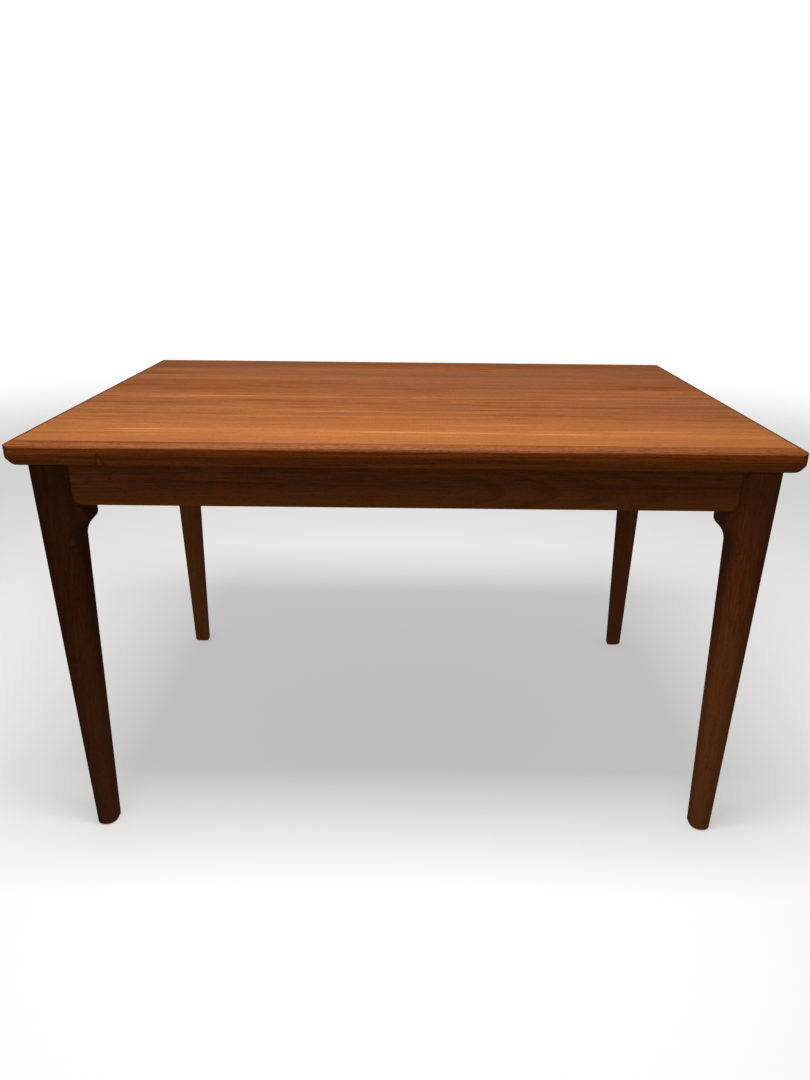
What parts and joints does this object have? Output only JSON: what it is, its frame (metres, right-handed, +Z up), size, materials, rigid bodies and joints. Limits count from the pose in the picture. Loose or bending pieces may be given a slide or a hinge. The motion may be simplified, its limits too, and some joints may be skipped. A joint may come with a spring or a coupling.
{
  "type": "draw leaf dining table",
  "caption": "Rectangular wooden dining table with rounded-over edges and tapered legs; leaves stored under the loose top draw out at both ends.",
  "frame": {"origin": "on the floor, below the middle of the closed top", "axes": "+X along the table towards the right leaf, +Y from front to back, +Z up"},
  "size_m": [1.2, 0.815, 0.73],
  "materials": {
    "top_veneer": "oiled teak veneer",
    "lipping": "oiled solid teak",
    "leaf": "oiled teak veneer on board",
    "leg": "oiled solid teak",
    "rail": "oiled solid teak",
    "board": "plain board",
    "beech": "sanded beech",
    "steel": "zinc plated",
    "felt": "felt",
    "glide": "nylon"
  },
  "bodies": {
    "base": {"back_rail": "rail", "centre_bearer": "beech", "centre_board": "board", "centre_board_screws": "steel", "centre_felt": "felt", "corner_block_back_left": "beech", "corner_block_back_right": "beech", "corner_block_front_left": "beech", "corner_block_front_right": "beech", "corner_block_screws": "steel", "foot_glide_back_left": "glide", "foot_glide_back_right": "glide", "foot_glide_front_left": "glide", "foot_glide_front_right": "glide", "front_rail": "rail", "left_rail": "rail", "leg_back_left": "leg", "leg_back_right": "leg", "leg_front_left": "leg", "leg_front_right": "leg", "rail_dowels": "beech", "right_rail": "rail"},
    "top": {"guide_peg_back": "beech", "guide_peg_front": "beech", "lipping_back": "lipping", "lipping_front": "lipping", "lipping_left": "lipping", "lipping_right": "lipping", "top_core": "board", "top_veneer": "top_veneer"},
    "leaf_left": {"leaf_left_end_lipping": "lipping", "leaf_left_inner_lipping": "lipping", "leaf_left_panel": "leaf", "leaf_left_runner_back": "beech", "leaf_left_runner_front": "beech", "leaf_left_screws": "steel", "leaf_left_side_lipping_back": "lipping", "leaf_left_side_lipping_front": "lipping", "leaf_left_stop_pegs": "beech"},
    "leaf_right": {"leaf_right_end_lipping": "lipping", "leaf_right_inner_lipping": "lipping", "leaf_right_panel": "leaf", "leaf_right_runner_back": "beech", "leaf_right_runner_front": "beech", "leaf_right_screws": "steel", "leaf_right_side_lipping_back": "lipping", "leaf_right_side_lipping_front": "lipping", "leaf_right_stop_pegs": "beech"}
  },
  "joints": [
    {"name": "top_lift", "type": "slide", "parent": "base", "child": "top", "axis": [0, 0, 1], "range_m": [0, 0.03]},
    {"name": "leaf_left_slide", "type": "slide", "parent": "base", "child": "leaf_left", "axis": [-1, 0, 0], "range_m": [0, 0.48]},
    {"name": "leaf_right_slide", "type": "slide", "parent": "base", "child": "leaf_right", "axis": [1, 0, 0], "range_m": [0, 0.48]}
  ]
}
